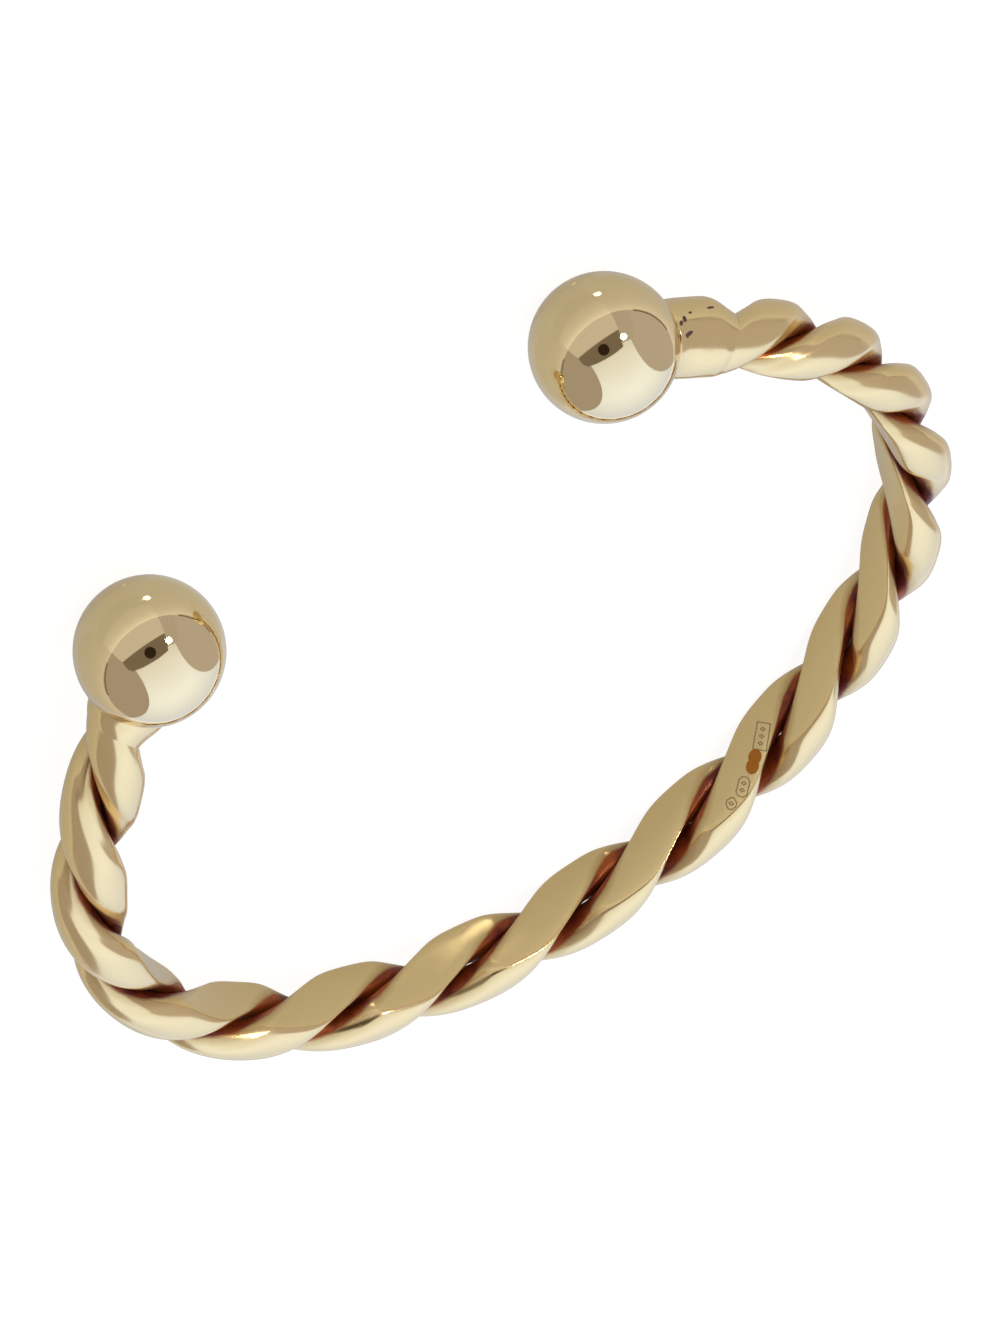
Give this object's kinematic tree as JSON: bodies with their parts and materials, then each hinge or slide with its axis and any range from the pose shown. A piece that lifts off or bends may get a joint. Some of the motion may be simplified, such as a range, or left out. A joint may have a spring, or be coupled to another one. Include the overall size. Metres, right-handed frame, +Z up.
{
  "type": "twisted torque bangle",
  "caption": "Open oval bangle of twisted gold strands with a polished round ball on each end, lying loose on a table.",
  "frame": {"origin": "on the table under the middle of the whole bangle, which lies loose on its balls and band", "axes": "+X to the right along the longest extent, -Y out through the mouth between the balls, +Z up from the table"},
  "size_m": [0.0702, 0.059, 0.01],
  "materials": {
    "gold": "mirror polished yellow gold, with red-brown firestain in the grooves",
    "ball_gold": "mirror polished yellow gold"
  },
  "bodies": {
    "root": {"strand_a": "gold", "strand_b": "gold", "ball_left": "ball_gold", "ball_right": "ball_gold"}
  },
  "joints": []
}
